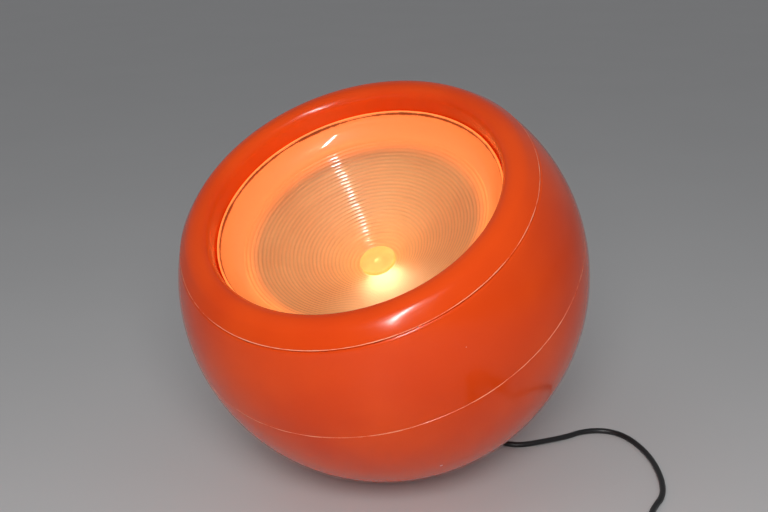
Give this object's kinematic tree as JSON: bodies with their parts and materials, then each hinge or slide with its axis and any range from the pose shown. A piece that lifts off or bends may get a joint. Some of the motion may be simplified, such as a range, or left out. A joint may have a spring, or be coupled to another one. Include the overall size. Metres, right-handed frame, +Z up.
{
  "type": "ball floor lamp",
  "caption": "Gloss ball floor lamp resting tipped back on a hidden foot, with a rounded front ring, a ringed conical diffuser and a black cord with inline switch and plug.",
  "frame": {"origin": "centre of the foot pad's rest face, on the floor under the ball's centre", "axes": "+Z up; the diffuser faces -Y and up, 31 degrees from vertical; +X to the right seen from the front"},
  "size_m": [0.6232, 0.4207, 0.4011],
  "materials": {
    "shell_orange": "gloss",
    "ring_orange": "gloss",
    "diffuser_clear": "gloss, ringed",
    "button_plastic": "gloss",
    "fixing_steel": "zinc plated",
    "bulb_glass": "clear",
    "cap_brass": "drawn",
    "insulator_glass": "gloss",
    "solder": "dull",
    "mount_glass": "clear",
    "tungsten": "hot",
    "holder_black": "satin phenolic",
    "core_ceramic": "unglazed",
    "contact_brass": "satin",
    "reflector_white": "white enamel",
    "weight_iron": "as cast, primed",
    "foot_rubber": "matt",
    "grip_nylon": "satin",
    "cord_black": "satin",
    "core_brown": "satin",
    "core_blue": "satin",
    "switch_black": "satin gloss",
    "plug_black": "satin",
    "pin_nickel": "nickel plated"
  },
  "bodies": {
    "lamp": {"rear_shell": "shell_orange", "front_shell": "shell_orange", "shell_screws": "fixing_steel", "front_ring": "ring_orange", "ring_screws": "fixing_steel", "holder_body": "holder_black", "holder_insert": "core_ceramic", "holder_thread_shell": "contact_brass", "holder_contact": "contact_brass", "terminal_screws": "contact_brass", "holder_cap": "holder_black", "shade_ring": "holder_black", "reflector": "reflector_white", "stem_tube": "fixing_steel", "stem_nuts": "fixing_steel", "bracket": "fixing_steel", "bracket_screws": "fixing_steel", "cord_grip": "grip_nylon", "grip_screw": "fixing_steel", "cord_inner": "cord_black", "core_live": "core_brown", "core_neutral": "core_blue", "cord_boot": "foot_rubber", "foot_pad": "foot_rubber", "counterweight": "weight_iron", "weight_screws": "fixing_steel", "cord_to_switch": "cord_black", "cord_to_coil": "cord_black", "cord_coil": "cord_black", "cord_to_plug": "cord_black", "switch_base": "switch_black", "switch_cover": "switch_black", "switch_pin": "fixing_steel", "plug_body": "plug_black", "plug_pins": "pin_nickel"},
    "diffuser": {"diffuser_dish": "diffuser_clear", "centre_button": "button_plastic", "button_washer": "fixing_steel"},
    "bulb_foot": {"bulb_tip": "solder"},
    "bulb": {"bulb_glass": "bulb_glass", "bulb_cap": "cap_brass", "bulb_insulator": "insulator_glass", "bulb_mount": "mount_glass", "bulb_filament": "tungsten"},
    "rocker": {"switch_rocker": "switch_black"}
  },
  "joints": [
    {"name": "diffuser_lift", "type": "slide", "parent": "lamp", "child": "diffuser", "axis": [0, -0.515, 0.8572], "range_m": [0, 0.14]},
    {"name": "bulb_rise", "type": "slide", "parent": "lamp", "child": "bulb_foot", "axis": [0, -0.515, 0.8572], "range_m": [0, 0.0109]},
    {"name": "bulb_turn", "type": "hinge", "parent": "bulb_foot", "child": "bulb", "pos_m": [0, 0.01236, 0.19043], "axis": [0, -0.515, 0.8572], "range_deg": [0, 1080]},
    {"name": "rocker_tip", "type": "hinge", "parent": "lamp", "child": "rocker", "pos_m": [0.3462, -0.0742, 0.0136], "axis": [-0.7193, -0.6947, 0], "range_deg": [0, 16]}
  ],
  "couplings": [
    {"joint": "bulb_rise", "follows": "bulb_turn", "m_per_rad": 0.00057757}
  ]
}
